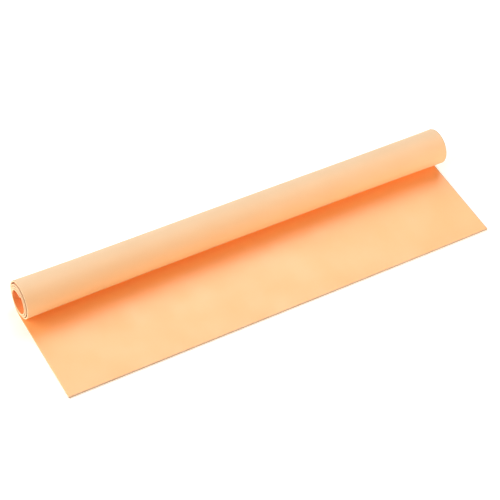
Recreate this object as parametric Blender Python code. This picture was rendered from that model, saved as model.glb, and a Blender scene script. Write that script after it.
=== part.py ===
"""A sheet of craft foam, rolled up from one end, with its last stretch lying flat as a flap.

Metres, +Z up. The roll runs along X and the flap reaches towards -Y. The origin is the middle of
the bounding box's underside, so the flap lies on Z = 0.
"""

import math

import bmesh
import bpy
import numpy as np

# The sheet before it is rolled
sheet_width = 0.600          # along the roll
sheet_length = 0.558         # along the flap and the turns
sheet_thickness = 0.002

# The roll
flap_length = 0.134          # from the front edge to where the roll's middle rests
bore_radius = 0.0139         # at the free inner edge
turn_gap = 0.0003            # between turns that lie on each other
left_slack = 0.0026          # extra top gap under the outer turn, which opens out at the left end
right_slack = 0.0016         # the same gap at the right end
left_shift = 0.0017          # how far the outer turn sits to the right of the flap, at the left end
right_shift = 0.0051         # the same shift at the right end
askew = 0.0025               # how far the inner edge has drifted back to the left
bow = 0.0013                 # how far the roll's ends lie forward of its middle
edge_lift = 0.0006           # how far the free inner edge springs away from the turn behind it

# Where the outer turn's slack is taken up, and how much of the inner edge springs free, in turns
slack_from = 1.0
slack_until = 1.5
lifted_turns = 0.12

# The sheet shifts sideways over this length, before and after the line where the roll rests
shift_before = 0.012
shift_after = 0.030

# How finely the shape is divided
steps_per_turn = 48
steps_on_flap = 12
steps_along_roll = 10

foam_colour = (1.0, 0.64, 0.35)
foam_roughness = 0.75


def smooth_step(value, low, high):
    """0 below low, 1 above high, and a smooth rise between them."""
    t = np.clip((value - low) / (high - low), 0.0, 1.0)
    return t * t * (3.0 - 2.0 * t)


def turns_in_roll():
    """Turns that the rolled stretch makes, solved from its length, which the integral of the radius gives."""
    pitch = sheet_thickness + turn_gap
    inner_radius = bore_radius + sheet_thickness / 2
    length_per_radian = (sheet_length - flap_length) / (2 * math.pi)
    return (math.sqrt(inner_radius**2 + 2 * pitch * length_per_radian) - inner_radius) / pitch


def roll_centreline(slack, turns):
    """The sheet's middle line around the roll, as (y, z) points from the flap to the free inner edge.

    Turns are counted from the line where the roll rests on the flap, backwards and up. Every turn
    lies on the one below it at the bottom. The outer turn stands off at the top by the slack.
    """
    pitch = sheet_thickness + turn_gap
    steps = round(turns * steps_per_turn)
    turn = np.linspace(0.0, turns, steps + 1)
    loose = slack / 2 * (1.0 - smooth_step(turn, slack_from, slack_until))
    lift = edge_lift * np.clip((turn - turns + lifted_turns) / lifted_turns, 0.0, 1.0) ** 2
    wound_radius = bore_radius + sheet_thickness / 2 + pitch * (turns - turn)
    radius = wound_radius + loose - lift
    centre_height = sheet_thickness + pitch * turns + bore_radius + loose
    angle = 2 * math.pi * turn
    return np.column_stack((radius * np.sin(angle), centre_height - radius * np.cos(angle)))


def sheet_centreline(slack, rest_y, turns):
    """The middle line of the whole sheet, from the flap's front edge to the free inner edge."""
    flap_y = np.linspace(-flap_length, rest_y, steps_on_flap, endpoint=False)
    flap = np.column_stack((flap_y, np.full_like(flap_y, sheet_thickness / 2)))
    return np.vstack((flap, roll_centreline(slack, turns) + (rest_y, 0.0)))


def both_faces(line):
    """The sheet's outer and inner faces, half a thickness to each side of its middle line."""
    direction = np.gradient(line, axis=0)
    direction[0] = (1.0, 0.0)
    direction /= np.linalg.norm(direction, axis=1, keepdims=True)
    normal = np.column_stack((-direction[:, 1], direction[:, 0]))
    half = sheet_thickness / 2
    return line - half * normal, line + half * normal


def sideways(line, along):
    """How far each point of the middle line lies to the right of its place in a square, straight roll."""
    step = np.linalg.norm(np.diff(line, axis=0), axis=1)
    rolled = np.concatenate(([0.0], np.cumsum(step))) - flap_length
    shift = left_shift + (right_shift - left_shift) * along
    drift = askew * np.maximum(rolled, 0.0) / rolled[-1]
    return shift * smooth_step(rolled, -shift_before, shift_after) - drift


def section_at(along, turns):
    """The closed outline of the sheet's section at a place along the roll, from 0 to 1, as (x, y, z)."""
    from_middle = 2 * along - 1
    slack = (left_slack if from_middle < 0 else right_slack) * from_middle**4
    line = sheet_centreline(slack, -bow * from_middle**2, turns)
    outer, inner = both_faces(line)
    x = sheet_width * along + sideways(line, along)
    there = np.column_stack((x, outer))
    back = np.column_stack((x, inner))[::-1]
    return np.vstack((there, back))


def foam_mesh():
    """The rolled sheet as one closed mesh, with its origin at the middle of its underside."""
    turns = turns_in_roll()
    places = np.linspace(0.0, 1.0, steps_along_roll + 1)
    sections = np.array([section_at(along, turns) for along in places])
    corners = sections.reshape(-1, 3)
    lowest, highest = corners.min(axis=0), corners.max(axis=0)
    origin = np.array(((lowest[0] + highest[0]) / 2, (lowest[1] + highest[1]) / 2, lowest[2]))

    bm = bmesh.new()
    rings = [[bm.verts.new(point - origin) for point in section] for section in sections]
    count = len(rings[0])
    for ring, next_ring in zip(rings, rings[1:]):
        for i in range(count):
            j = (i + 1) % count
            bm.faces.new((ring[i], ring[j], next_ring[j], next_ring[i]))
    for ring in (rings[0], rings[-1]):
        for i in range(count // 2 - 1):
            bm.faces.new((ring[i], ring[i + 1], ring[count - 2 - i], ring[count - 1 - i]))
    bmesh.ops.recalc_face_normals(bm, faces=bm.faces)
    mesh = bpy.data.meshes.new("foam_sheet")
    bm.to_mesh(mesh)
    bm.free()
    return mesh


def foam_material():
    """Plain closed-cell foam."""
    material = bpy.data.materials.new("craft_foam")
    material.use_nodes = True
    shader = material.node_tree.nodes["Principled BSDF"]
    shader.inputs["Base Color"].default_value = (*foam_colour, 1.0)
    shader.inputs["Roughness"].default_value = foam_roughness
    shader.inputs["Metallic"].default_value = 0.0
    return material


def clear_scene():
    """Start from an empty scene."""
    for old in list(bpy.data.objects):
        bpy.data.objects.remove(old, do_unlink=True)


def build():
    """Make the rolled sheet."""
    clear_scene()
    mesh = foam_mesh()
    mesh.materials.append(foam_material())
    mesh.shade_smooth()
    mesh.set_sharp_from_angle(angle=math.radians(30))
    bpy.context.scene.collection.objects.link(bpy.data.objects.new("foam_sheet", mesh))


build()
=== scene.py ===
# A sheet of craft foam, part rolled up, with its loose end lying flat as a flap.
# The sheet is made flat, as it was cut, and a Geometry Nodes tree rolls it up.

import math

import bpy
from mathutils import Matrix, Vector


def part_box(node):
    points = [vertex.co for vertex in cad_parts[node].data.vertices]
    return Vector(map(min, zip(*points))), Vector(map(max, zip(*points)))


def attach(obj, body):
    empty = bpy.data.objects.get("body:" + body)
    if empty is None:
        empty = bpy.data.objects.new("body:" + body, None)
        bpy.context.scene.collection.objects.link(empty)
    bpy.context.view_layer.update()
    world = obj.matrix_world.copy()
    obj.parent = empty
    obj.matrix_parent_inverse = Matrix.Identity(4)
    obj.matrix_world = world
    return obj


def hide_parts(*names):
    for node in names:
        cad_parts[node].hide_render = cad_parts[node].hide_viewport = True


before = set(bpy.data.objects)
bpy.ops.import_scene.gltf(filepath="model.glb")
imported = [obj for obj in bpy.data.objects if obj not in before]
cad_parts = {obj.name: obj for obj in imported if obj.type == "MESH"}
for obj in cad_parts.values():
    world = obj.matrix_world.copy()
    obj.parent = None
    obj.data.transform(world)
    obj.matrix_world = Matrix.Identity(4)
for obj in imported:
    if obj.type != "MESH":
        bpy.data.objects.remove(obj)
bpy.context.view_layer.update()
sheetLow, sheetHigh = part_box("foam_sheet")
print("frame loaded:", sorted(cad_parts))


def linearColour(hexColour):
    # sRGB hex to the linear RGBA that Blender's sockets hold
    channels = [int(hexColour[i:i + 2], 16) / 255 for i in (1, 3, 5)]
    linear = [c / 12.92 if c <= 0.04045 else ((c + 0.055) / 1.055) ** 2.4 for c in channels]
    return (*linear, 1.0)


def addNode(tree, kind, settings=None, links=None):
    # adds a node; a link is a plain value, a socket, or a node whose first output is meant
    node = tree.nodes.new(kind)
    for name, value in (settings or {}).items():
        setattr(node, name, value)
    for socket, source in (links or {}).items():
        if isinstance(source, bpy.types.Node):
            source = source.outputs[0]
        if isinstance(source, bpy.types.NodeSocket):
            tree.links.new(source, node.inputs[socket])
        else:
            node.inputs[socket].default_value = source
    return node


# Materials. Their patterns lie in the flat sheet, so they follow it round the roll.

foamLook = {
    "skinColour": "#ffab5a",          # the face that lies upwards on the flap and inside the roll
    "skinDeepColour": "#fea554",      # where the dye took a little more strongly
    "skinRoughness": 0.55,
    "skinIor": 1.75,
    "skivedColour": "#dfbd94",        # the face that was sliced from the block, outside on the roll
    "skivedDeepColour": "#dcb88e",
    "skivedRoughness": 0.78,
    "skivedIor": 1.6,
    "cutColour": "#fcdcae",
    "cutPoreColour": "#f2cb94",
    "edgeShadeAndLineColour": "#b6a48b",       # painted shade on the front cut edge, and the same darker tan on the right cut edge
    "rimShadeAndLineColour": "#ad906f",       # painted shade along the front rim, and the same tan line along the right rim, on the faces beside those edges
    "rimShadeAndLineWidth": 0.0010,
    "edgeShadeAndLineWidth": 0.0004,           # how far in from those two edges the cut face counts as theirs
    "fadeShare": 0.5,                 # the outer share of these widths that is wholly tan
    "cutRoughness": 0.85,
    "cutIor": 1.3,
    "cloudSize": 0.045,               # soft clouds in the dye
    "cloudDetail": 3.0,
    "cloudRange": (0.35, 0.65),
    "cloudStrength": 0.35,
    "dullRange": (0.3, 0.7),          # the same clouds make the face a little duller or glossier
    "dullSpread": 0.04,
    "cellSize": 0.0009,               # closed cells are about 0.2 mm; drawn coarser so that they show
    "cellReach": 0.5,                 # how far from its middle a cell looks deeper, in cells
    "cellDepth": 0.00006,
    "cellStrength": 0.3,              # how much deeper the dye looks in the middle of a cell
    "poreStrength": 0.5,              # the same for the cells that the knife cut open
    "knifeLineSize": 0.0011,          # fine upright lines that the knife leaves on a cut edge
    "knifeLineStretch": 0.15,
    "knifeLineDetail": 2.0,
    "knifeLineDepth": 0.00008,
}


def mapRange(tree, value, fromRange, toRange):
    return addNode(tree, "ShaderNodeMapRange", None,
                   {"Value": value, "From Min": fromRange[0], "From Max": fromRange[1],
                    "To Min": toRange[0], "To Max": toRange[1]})


def shadeAndLineShare(tree, flatPlace, rimWidth):
    # 1 on the front edge, at 0 along the flat sheet, and on the right edge, fading out inwards; it places the
    # painted shade on the front edge and the darker tan line on the right edge
    parts = addNode(tree, "ShaderNodeSeparateXYZ", None, {0: flatPlace}).outputs
    width = sheetSizes["Sheet width"]
    whole = rimWidth * foamLook["fadeShare"]
    front = mapRange(tree, parts["Y"], (rimWidth, whole), (0.0, 1.0))
    right = mapRange(tree, parts["X"], (width - rimWidth, width - whole), (0.0, 1.0))
    return addNode(tree, "ShaderNodeMath", {"operation": "MAXIMUM"}, {0: front, 1: right})


def mixColour(tree, share, first, second):
    # 6 and 7 are the Mix node's two colours, and its output 2 is the mixed one
    mix = addNode(tree, "ShaderNodeMix", {"data_type": "RGBA"}, {"Factor": share, 6: first, 7: second})
    return mix.outputs[2]


def startMaterial(name):
    material = bpy.data.materials.new(name)
    material.use_nodes = True
    material.node_tree.nodes.clear()
    return material, material.node_tree


def foamShader(tree, colour, roughness, ior, height, depth):
    bump = addNode(tree, "ShaderNodeBump", None, {"Strength": 1.0, "Distance": depth, "Height": height})
    shader = addNode(tree, "ShaderNodeBsdfPrincipled", None, {
        "Base Color": colour,
        "Roughness": roughness,
        "IOR": ior,
        "Specular IOR Level": 1.0,
        "Normal": bump,
    })
    addNode(tree, "ShaderNodeOutputMaterial", None, {"Surface": shader})


def readFlatPlace(tree):
    # where the point lay in the flat sheet, which the rolling tree wrote down
    return addNode(tree, "ShaderNodeAttribute", {"attribute_name": "flatPlace"}).outputs["Vector"]


def foamCells(tree, flatPlace, strength):
    # the cells, and how much of the second colour they take, which is most in their middle
    cells = addNode(tree, "ShaderNodeTexVoronoi", None,
                    {"Vector": flatPlace, "Scale": 1 / foamLook["cellSize"]})
    return cells, mapRange(tree, cells, (foamLook["cellReach"], 0.0), (0.0, strength))


def foamFace(name, colour, deepColour, roughness, ior):
    material, tree = startMaterial(name)
    flatPlace = readFlatPlace(tree)
    clouds = addNode(tree, "ShaderNodeTexNoise", None,
                     {"Vector": flatPlace, "Scale": 1 / foamLook["cloudSize"],
                      "Detail": foamLook["cloudDetail"]})
    cloudShare = mapRange(tree, clouds, foamLook["cloudRange"], (0.0, foamLook["cloudStrength"]))
    cells, cellShare = foamCells(tree, flatPlace, foamLook["cellStrength"])
    share = addNode(tree, "ShaderNodeMath", {"operation": "ADD"}, {0: cloudShare, 1: cellShare})
    dye = mixColour(tree, share, linearColour(colour), linearColour(deepColour))
    # painted shade along the front rim, and a darker tan line along the right rim
    rimShadeAndLine = shadeAndLineShare(tree, flatPlace, foamLook["rimShadeAndLineWidth"])
    dye = mixColour(tree, rimShadeAndLine, dye, linearColour(foamLook["rimShadeAndLineColour"]))
    spread = foamLook["dullSpread"]
    dullness = mapRange(tree, clouds, foamLook["dullRange"], (roughness - spread, roughness + spread))
    foamShader(tree, dye, dullness, ior, cells, foamLook["cellDepth"])
    return material


def skinFace():
    # EVA foam as it left the press, dyed right through: clear apricot with a soft, broad gloss
    return foamFace("pressedEvaSkin", foamLook["skinColour"], foamLook["skinDeepColour"],
                    foamLook["skinRoughness"], foamLook["skinIor"])


def skivedFace():
    # the same foam sliced from its block: opened cells make it paler, greyer and duller
    return foamFace("skivedEvaFoam", foamLook["skivedColour"], foamLook["skivedDeepColour"],
                    foamLook["skivedRoughness"], foamLook["skivedIor"])


def cutFoamEdge():
    # the same foam where the knife went through: opened cells scatter more light, so it is cream
    material, tree = startMaterial("knifeCutEvaEdge")
    flatPlace = readFlatPlace(tree)
    poreShare = foamCells(tree, flatPlace, foamLook["poreStrength"])[1]
    colour = mixColour(tree, poreShare,
                       linearColour(foamLook["cutColour"]), linearColour(foamLook["cutPoreColour"]))
    # painted shade on the front cut edge, and a darker tan on the right cut edge
    edgeShadeAndLine = shadeAndLineShare(tree, flatPlace, foamLook["edgeShadeAndLineWidth"])
    colour = mixColour(tree, edgeShadeAndLine, colour, linearColour(foamLook["edgeShadeAndLineColour"]))
    # stretched through the thickness, so that the noise becomes knife lines
    alongCut = addNode(tree, "ShaderNodeVectorMath", {"operation": "MULTIPLY"},
                       {0: flatPlace, 1: (1.0, 1.0, foamLook["knifeLineStretch"])})
    knifeLines = addNode(tree, "ShaderNodeTexNoise", None,
                         {"Vector": alongCut, "Scale": 1 / foamLook["knifeLineSize"],
                          "Detail": foamLook["knifeLineDetail"]})
    foamShader(tree, colour, foamLook["cutRoughness"], foamLook["cutIor"], knifeLines,
               foamLook["knifeLineDepth"])
    return material


# The sheet, flat as it was cut. Lengths are the real ones, in metres.

sheetSizes = {
    "Sheet width": 0.600,             # along the roll
    "Sheet length": 0.558,            # along the flap and the turns
    "Thickness": 0.002,
    "Flap length": 0.134,
    "Bore radius": 0.0139,            # at the free inner edge
    "Turn gap": 0.0003,               # between turns that lie on each other
    "Left slack": 0.0026,             # extra top gap under the outer turn, which opens out at the ends
    "Right slack": 0.0016,
    "Slack from": 1.0,                # turns over which the slack is taken up
    "Slack until": 1.5,
    "Left shift": 0.0017,             # how far the outer turn sits to the right of the flap
    "Right shift": 0.0051,
    "Shift before": 0.012,            # the shift happens over this much of the sheet, before and after
    "Shift after": 0.030,             # the line where the roll rests
    "Askew": 0.0025,                  # how far the inner edge has drifted back to the left
    "Bow": 0.0013,                    # how far the roll's ends lie forward of its middle
    "Edge lift": 0.0006,              # the free inner edge springs off the turn behind it
    "Lifted turns": 0.12,
}

flatMesh = {
    "stepsAcross": 40,
    "stepsAlong": 440,
    "borderStep": 0.0006,             # narrow first step, so that the rounded rim shades cleanly
    "rimRadius": 0.00022,             # the knife leaves the rim slightly rounded
    "rimSteps": 2,
    "cutFacesBelow": 0.8,             # a face is a cut one where its normal rises or falls less than this
}


def placesAlong(length, steps):
    # even steps, with a narrow one at either end
    border = flatMesh["borderStep"]
    inner = [border + (length - 2 * border) * i / steps for i in range(steps + 1)]
    return [0.0, *inner, length]


def flatSheet():
    xs = placesAlong(sheetSizes["Sheet width"], flatMesh["stepsAcross"])
    ys = placesAlong(sheetSizes["Sheet length"], flatMesh["stepsAlong"])
    points = [(x, y, 0.0) for y in ys for x in xs]
    row = len(xs)
    faces = [(j * row + i, j * row + i + 1, (j + 1) * row + i + 1, (j + 1) * row + i)
             for j in range(len(ys) - 1) for i in range(row - 1)]
    mesh = bpy.data.meshes.new("flatSheet")
    mesh.from_pydata(points, [], faces)
    sheet = bpy.data.objects.new("flatSheet", mesh)
    bpy.context.scene.collection.objects.link(sheet)
    wall = sheet.modifiers.new("thickness", "SOLIDIFY")
    wall.thickness = sheetSizes["Thickness"]
    wall.offset = 0.0
    rim = sheet.modifiers.new("rim", "BEVEL")
    rim.width = flatMesh["rimRadius"]
    rim.segments = flatMesh["rimSteps"]
    rim.limit_method = "ANGLE"
    return sheet


def rollUpTree():
    # Turns each point of the flat sheet, (across, along, through), round the roll.
    # Turns are counted from the line where the roll rests on the flap, backwards and up.
    tree = bpy.data.node_groups.new("rollUpSheet", "GeometryNodeTree")
    tree.interface.new_socket("Geometry", in_out="INPUT", socket_type="NodeSocketGeometry")
    for name in sheetSizes:
        tree.interface.new_socket(name, in_out="INPUT", socket_type="NodeSocketFloat")
    tree.interface.new_socket("Place", in_out="INPUT", socket_type="NodeSocketVector")
    for name in ("Upper material", "Under material", "Edge material"):
        tree.interface.new_socket(name, in_out="INPUT", socket_type="NodeSocketMaterial")
    tree.interface.new_socket("Geometry", in_out="OUTPUT", socket_type="NodeSocketGeometry")
    given = addNode(tree, "NodeGroupInput").outputs
    maths = "ShaderNodeMath"

    position = addNode(tree, "GeometryNodeInputPosition")
    flat = addNode(tree, "ShaderNodeSeparateXYZ", None, {0: position}).outputs

    # how much of the sheet is in the roll up to this point, as a length and as a share
    beyond = addNode(tree, maths, {"operation": "SUBTRACT"}, {0: flat["Y"], 1: given["Flap length"]})
    rolled = addNode(tree, maths, {"operation": "MAXIMUM"}, {0: beyond, 1: 0.0})
    beforeRoll = addNode(tree, maths, {"operation": "MINIMUM"}, {0: beyond, 1: 0.0})
    rolledLength = addNode(tree, maths, {"operation": "SUBTRACT"},
                           {0: given["Sheet length"], 1: given["Flap length"]})
    share = addNode(tree, maths, {"operation": "DIVIDE"}, {0: rolled, 1: rolledLength})

    # from the roll's middle: -1 at the left end, 0 halfway, 1 at the right end
    along = addNode(tree, maths, {"operation": "DIVIDE"}, {0: flat["X"], 1: given["Sheet width"]})
    fromMiddle = addNode(tree, maths, {"operation": "MULTIPLY_ADD"}, {0: along, 1: 2.0, 2: -1.0})
    squareFromMiddle = addNode(tree, maths, {"operation": "MULTIPLY"}, {0: fromMiddle, 1: fromMiddle})

    # slack of the outer turn: none along the middle of the roll, most at its ends
    onLeft = addNode(tree, maths, {"operation": "LESS_THAN"}, {0: fromMiddle, 1: 0.0})
    endSlack = addNode(tree, "GeometryNodeSwitch", {"input_type": "FLOAT"},
                       {"Switch": onLeft, "False": given["Right slack"], "True": given["Left slack"]})
    endShare = addNode(tree, maths, {"operation": "MULTIPLY"}, {0: squareFromMiddle, 1: squareFromMiddle})
    slack = addNode(tree, maths, {"operation": "MULTIPLY"}, {0: endSlack, 1: endShare})
    halfSlack = addNode(tree, maths, {"operation": "MULTIPLY"}, {0: slack, 1: 0.5})

    # where the roll rests: its ends lie a little forward of its middle
    rest = addNode(tree, maths, {"operation": "MULTIPLY"}, {0: squareFromMiddle, 1: given["Bow"]})
    restShare = addNode(tree, maths, {"operation": "DIVIDE"}, {0: rest, 1: given["Flap length"]})
    flapStretch = addNode(tree, maths, {"operation": "SUBTRACT"}, {0: 1.0, 1: restShare})
    onFlap = addNode(tree, maths, {"operation": "MULTIPLY"}, {0: beforeRoll, 1: flapStretch})
    flapY = addNode(tree, maths, {"operation": "SUBTRACT"}, {0: onFlap, 1: rest})

    # the sheet's sideways shift between flap and roll, and the drift back of its inner edge
    shift = addNode(tree, "ShaderNodeMapRange", None,
                    {"Value": along, "To Min": given["Left shift"], "To Max": given["Right shift"]})
    shiftStart = addNode(tree, maths, {"operation": "MULTIPLY"}, {0: given["Shift before"], 1: -1.0})
    shifted = addNode(tree, "ShaderNodeMapRange", {"interpolation_type": "SMOOTHSTEP"},
                      {"Value": beyond, "From Min": shiftStart, "From Max": given["Shift after"],
                       "To Min": 0.0, "To Max": shift})
    drift = addNode(tree, maths, {"operation": "MULTIPLY"}, {0: share, 1: given["Askew"]})
    sideways = addNode(tree, maths, {"operation": "SUBTRACT"}, {0: shifted, 1: drift})

    # turns in the roll, solved from the rolled length: pitch / 2 * turns^2 + inner * turns = per radian
    pitch = addNode(tree, maths, {"operation": "ADD"}, {0: given["Thickness"], 1: given["Turn gap"]})
    inner = addNode(tree, maths, {"operation": "MULTIPLY_ADD"},
                    {0: given["Thickness"], 1: 0.5, 2: given["Bore radius"]})
    perRadian = addNode(tree, maths, {"operation": "DIVIDE"}, {0: rolledLength, 1: 2 * math.pi})
    innerSquared = addNode(tree, maths, {"operation": "MULTIPLY"}, {0: inner, 1: inner})
    twicePitch = addNode(tree, maths, {"operation": "MULTIPLY"}, {0: pitch, 1: 2.0})
    underRoot = addNode(tree, maths, {"operation": "MULTIPLY_ADD"},
                        {0: twicePitch, 1: perRadian, 2: innerSquared})
    root = addNode(tree, maths, {"operation": "SQRT"}, {0: underRoot})
    reach = addNode(tree, maths, {"operation": "SUBTRACT"}, {0: root, 1: inner})
    turns = addNode(tree, maths, {"operation": "DIVIDE"}, {0: reach, 1: pitch})

    # the turn that this point is on, as for a radius that falls evenly from the outer turn to the inner edge
    wound = addNode(tree, maths, {"operation": "MULTIPLY_ADD"}, {0: pitch, 1: turns, 2: inner})
    outer = addNode(tree, maths, {"operation": "ADD"}, {0: wound, 1: halfSlack})
    outerSquared = addNode(tree, maths, {"operation": "MULTIPLY"}, {0: outer, 1: outer})
    fall = addNode(tree, maths, {"operation": "SUBTRACT"}, {0: outerSquared, 1: innerSquared})
    fallen = addNode(tree, maths, {"operation": "MULTIPLY"}, {0: fall, 1: share})
    squared = addNode(tree, maths, {"operation": "SUBTRACT"}, {0: outerSquared, 1: fallen})
    evenRadius = addNode(tree, maths, {"operation": "SQRT"}, {0: squared})
    turn = addNode(tree, "ShaderNodeMapRange", None,
                   {"Value": evenRadius, "From Min": outer, "From Max": inner,
                    "To Min": 0.0, "To Max": turns})

    # radius and centre: every turn lies on the one below it, and the outer one stands off at the top
    loose = addNode(tree, "ShaderNodeMapRange", {"interpolation_type": "SMOOTHSTEP"},
                    {"Value": turn, "From Min": given["Slack from"], "From Max": given["Slack until"],
                     "To Min": halfSlack, "To Max": 0.0})
    turnsLeft = addNode(tree, maths, {"operation": "SUBTRACT"}, {0: turns, 1: turn})
    liftShare = addNode(tree, "ShaderNodeMapRange", None,
                        {"Value": turnsLeft, "From Min": given["Lifted turns"], "From Max": 0.0})
    liftSquared = addNode(tree, maths, {"operation": "MULTIPLY"}, {0: liftShare, 1: liftShare})
    lift = addNode(tree, maths, {"operation": "MULTIPLY"}, {0: liftSquared, 1: given["Edge lift"]})
    woundRadius = addNode(tree, maths, {"operation": "MULTIPLY_ADD"}, {0: turnsLeft, 1: pitch, 2: inner})
    looseRadius = addNode(tree, maths, {"operation": "ADD"}, {0: woundRadius, 1: loose})
    lifted = addNode(tree, maths, {"operation": "SUBTRACT"}, {0: looseRadius, 1: lift})
    radius = addNode(tree, maths, {"operation": "SUBTRACT"}, {0: lifted, 1: flat["Z"]})
    halfSheet = addNode(tree, maths, {"operation": "MULTIPLY_ADD"},
                        {0: given["Thickness"], 1: 0.5, 2: wound})
    centreHeight = addNode(tree, maths, {"operation": "ADD"}, {0: halfSheet, 1: loose})

    # round the centre, or flat on the flap, where the turn is 0
    angle = addNode(tree, maths, {"operation": "MULTIPLY"}, {0: turn, 1: 2 * math.pi})
    sine = addNode(tree, maths, {"operation": "SINE"}, {0: angle})
    cosine = addNode(tree, maths, {"operation": "COSINE"}, {0: angle})
    rolledY = addNode(tree, maths, {"operation": "MULTIPLY_ADD"}, {0: radius, 1: sine, 2: flapY})
    drop = addNode(tree, maths, {"operation": "MULTIPLY"}, {0: radius, 1: cosine})
    rolledZ = addNode(tree, maths, {"operation": "SUBTRACT"}, {0: centreHeight, 1: drop})
    rolledX = addNode(tree, maths, {"operation": "ADD"}, {0: flat["X"], 1: sideways})
    rolledPlace = addNode(tree, "ShaderNodeCombineXYZ", None, {"X": rolledX, "Y": rolledY, "Z": rolledZ})
    newPlace = addNode(tree, "ShaderNodeVectorMath", {"operation": "ADD"},
                       {0: rolledPlace, 1: given["Place"]})

    # in the flat sheet the underside faces down, and the faces that the knife cut stand upright
    normal = addNode(tree, "GeometryNodeInputNormal")
    facing = addNode(tree, "ShaderNodeSeparateXYZ", None, {0: normal}).outputs["Z"]
    flatness = addNode(tree, maths, {"operation": "ABSOLUTE"}, {0: facing})
    isUnder = addNode(tree, "FunctionNodeCompare", {"operation": "LESS_THAN"}, {0: facing, 1: 0.0})
    isCut = addNode(tree, "FunctionNodeCompare", {"operation": "LESS_THAN"},
                    {0: flatness, 1: flatMesh["cutFacesBelow"]})

    # written down before the points move, for the materials and for choosing between them
    remembered = addNode(tree, "GeometryNodeStoreNamedAttribute",
                         {"data_type": "FLOAT_VECTOR", "domain": "POINT"},
                         {"Geometry": given["Geometry"], "Name": "flatPlace", "Value": position})
    underMarked = addNode(tree, "GeometryNodeStoreNamedAttribute", {"data_type": "BOOLEAN", "domain": "FACE"},
                          {"Geometry": remembered, "Name": "underFace", "Value": isUnder})
    marked = addNode(tree, "GeometryNodeStoreNamedAttribute", {"data_type": "BOOLEAN", "domain": "FACE"},
                     {"Geometry": underMarked, "Name": "cutEdge", "Value": isCut})
    underFace = addNode(tree, "GeometryNodeInputNamedAttribute", {"data_type": "BOOLEAN"},
                        {"Name": "underFace"})
    cutEdge = addNode(tree, "GeometryNodeInputNamedAttribute", {"data_type": "BOOLEAN"},
                      {"Name": "cutEdge"})

    moved = addNode(tree, "GeometryNodeSetPosition", None, {"Geometry": marked, "Position": newPlace})
    smooth = addNode(tree, "GeometryNodeSetShadeSmooth", None, {"Geometry": moved, "Shade Smooth": True})
    real = addNode(tree, "GeometryNodeRealizeInstances", None, {"Geometry": smooth})
    upper = addNode(tree, "GeometryNodeSetMaterial", None,
                    {"Geometry": real, "Material": given["Upper material"]})
    under = addNode(tree, "GeometryNodeSetMaterial", None,
                    {"Geometry": upper, "Selection": underFace, "Material": given["Under material"]})
    edged = addNode(tree, "GeometryNodeSetMaterial", None,
                    {"Geometry": under, "Selection": cutEdge, "Material": given["Edge material"]})
    addNode(tree, "NodeGroupOutput", None, {"Geometry": edged})
    return tree


def rolledSheet():
    sheet = flatSheet()
    roller = sheet.modifiers.new("rollUp", "NODES")
    roller.node_group = rollUpTree()
    # the frame's box starts at the inner edge on the left and at the flap's front edge
    place = Vector((sheetLow[0] + sheetSizes["Askew"] - sheetSizes["Left shift"],
                    sheetLow[1] + sheetSizes["Flap length"], sheetLow[2]))
    values = dict(sheetSizes)
    values["Place"] = place
    values["Upper material"] = skinFace()
    values["Under material"] = skivedFace()
    values["Edge material"] = cutFoamEdge()
    for item in roller.node_group.interface.items_tree:
        if item.in_out == "INPUT" and item.name in values:
            roller[item.identifier] = values[item.name]
    bpy.context.view_layer.update()
    finished = sheet.evaluated_get(bpy.context.evaluated_depsgraph_get())
    mesh = bpy.data.meshes.new_from_object(finished)
    mesh.name = "rolledFoamSheet"
    bpy.data.objects.remove(sheet)
    piece = bpy.data.objects.new("rolledFoamSheet", mesh)
    bpy.context.scene.collection.objects.link(piece)
    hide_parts("foam_sheet")
    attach(piece, "root")
    print("sheet rolled:", len(mesh.polygons), "faces")


# Floor, light and camera

studio = {
    "floorColour": "#fdfdfd",
    "floorRoughness": 0.9,
    "floorSize": 12.0,
    "floorDrop": 0.0001,              # the floor lies a hair below the sheet
    "nearGlow": 0.14,                 # the floor is lit a little from below, so that it stays as white
    "farGlow": 1.0,                   # as the photograph's, and fully where the softboxes don't reach
    "glowFrom": 1.1,                  # distances from the middle between which the glow grows
    "glowUntil": 1.7,
    "worldStrength": 0.025,           # what the empty room adds to the softboxes
    "backdropStrength": 1.0,          # how bright the camera sees that room, past the floor
    "diffuseBounces": 12,             # light goes to and fro between the roll and the flap
    "allBounces": 16,
}

# every lamp is a square softbox that faces the sheet, with its power in watts
lamps = {
    "keySoftbox": {"place": (0.907, 1.1, 1.675), "size": 1.4, "power": 25.9, "colour": "#ffffff"},
    "backSoftbox": {"place": (0.0, 1.5, 1.4), "size": 1.2, "power": 12.0, "colour": "#ffffff"},
    "leftBackSoftbox": {"place": (-1.4, 1.2, 1.0), "size": 1.0, "power": 10.5, "colour": "#ffffff"},
    "leftSoftbox": {"place": (-1.8, 0.2, 1.2), "size": 1.2, "power": 22.5, "colour": "#ffffff"},
    "rightFrontCard": {"place": (1.2, -1.1, 0.55), "size": 0.8, "power": 15.4, "colour": "#fff2eb"},
    "frontSoftbox": {"place": (0.0, -1.5, 1.4), "size": 1.2, "power": 10.6, "colour": "#ffc884"},
    "frontCard": {"place": (0.0, -2.0, 0.5), "size": 0.8, "power": 7.8, "colour": "#ffc566"},
    "lowCard": {"place": (0.4, -1.8, 0.16), "size": 0.3, "power": 5.0, "colour": "#ffc364"},
}

# fitted to the photograph's outlines and corners
photoCamera = {
    "target": (-0.00064, 0.02193, 0.0),
    "distance": 2.0012,
    "azimuth": 39.478,                # the way it looks, in degrees from +Y towards +X
    "elevation": 49.590,              # degrees above the floor
    "roll": 11.256,
    "lens": 115.93,
    "clipEnd": 20.0,
}


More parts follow.
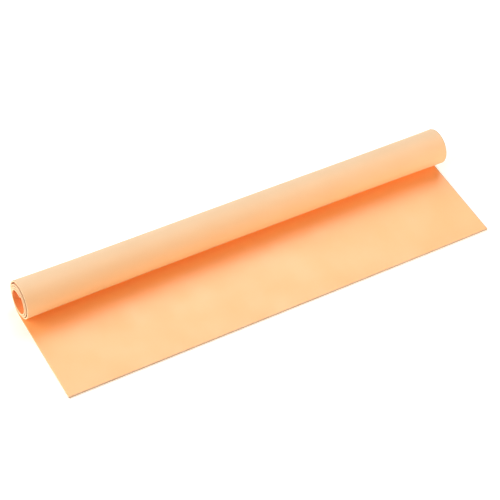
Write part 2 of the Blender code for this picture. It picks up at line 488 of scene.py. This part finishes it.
def makeFloor():
    half = studio["floorSize"] / 2
    z = sheetLow[2] - studio["floorDrop"]
    mesh = bpy.data.meshes.new("paleFloor")
    corners = [(-half, -half, z), (half, -half, z), (half, half, z), (-half, half, z)]
    mesh.from_pydata(corners, [], [(0, 1, 2, 3)])
    material, tree = startMaterial("mattWhitePaper")
    place = addNode(tree, "ShaderNodeTexCoord").outputs["Object"]
    distance = addNode(tree, "ShaderNodeVectorMath", {"operation": "LENGTH"}, {0: place}).outputs["Value"]
    glow = mapRange(tree, distance, (studio["glowFrom"], studio["glowUntil"]),
                    (studio["nearGlow"], studio["farGlow"]))
    shader = addNode(tree, "ShaderNodeBsdfPrincipled", None, {
        "Base Color": linearColour(studio["floorColour"]),
        "Roughness": studio["floorRoughness"],
        "Emission Color": linearColour("#ffffff"),
        "Emission Strength": glow,
    })
    addNode(tree, "ShaderNodeOutputMaterial", None, {"Surface": shader})
    mesh.materials.append(material)
    floor = bpy.data.objects.new("paleFloor", mesh)
    bpy.context.scene.collection.objects.link(floor)


def makeLights():
    world = bpy.data.worlds.new("studio")
    world.use_nodes = True
    tree = world.node_tree
    tree.nodes.clear()
    white = linearColour("#ffffff")
    room = addNode(tree, "ShaderNodeBackground", None,
                   {"Color": white, "Strength": studio["worldStrength"]})
    backdrop = addNode(tree, "ShaderNodeBackground", None,
                       {"Color": white, "Strength": studio["backdropStrength"]})
    seen = addNode(tree, "ShaderNodeLightPath").outputs["Is Camera Ray"]
    shown = addNode(tree, "ShaderNodeMixShader", None, {0: seen, 1: room, 2: backdrop})
    addNode(tree, "ShaderNodeOutputWorld", None, {"Surface": shown})
    bpy.context.scene.world = world
    for name, lamp in lamps.items():
        light = bpy.data.lights.new(name, "AREA")
        light.shape = "SQUARE"
        light.size = lamp["size"]
        light.energy = lamp["power"]
        light.color = linearColour(lamp["colour"])[:3]
        holder = bpy.data.objects.new(name, light)
        holder.location = lamp["place"]
        holder.rotation_mode = "QUATERNION"
        holder.rotation_quaternion = (-Vector(lamp["place"])).to_track_quat("-Z", "Y")
        bpy.context.scene.collection.objects.link(holder)


def makeCamera():
    azimuth = math.radians(photoCamera["azimuth"])
    elevation = math.radians(photoCamera["elevation"])
    roll = math.radians(photoCamera["roll"])
    forward = Vector((math.sin(azimuth) * math.cos(elevation),
                      math.cos(azimuth) * math.cos(elevation),
                      -math.sin(elevation)))
    level = Vector((math.cos(azimuth), -math.sin(azimuth), 0.0))
    upright = level.cross(forward)
    right = math.cos(roll) * level + math.sin(roll) * upright
    up = right.cross(forward)
    data = bpy.data.cameras.new("photoCamera")
    data.lens = photoCamera["lens"]
    data.clip_end = photoCamera["clipEnd"]
    camera = bpy.data.objects.new("photoCamera", data)
    camera.matrix_world = Matrix((
        (right[0], up[0], -forward[0], 0.0),
        (right[1], up[1], -forward[1], 0.0),
        (right[2], up[2], -forward[2], 0.0),
        (0.0, 0.0, 0.0, 1.0),
    ))
    camera.location = Vector(photoCamera["target"]) - photoCamera["distance"] * forward
    bpy.context.scene.collection.objects.link(camera)
    bpy.context.scene.camera = camera


rolledSheet()
makeFloor()
makeLights()
makeCamera()
bpy.context.scene.view_settings.view_transform = "Standard"
bpy.context.scene.cycles.diffuse_bounces = studio["diffuseBounces"]
bpy.context.scene.cycles.max_bounces = studio["allBounces"]
print("floor, light and camera set")
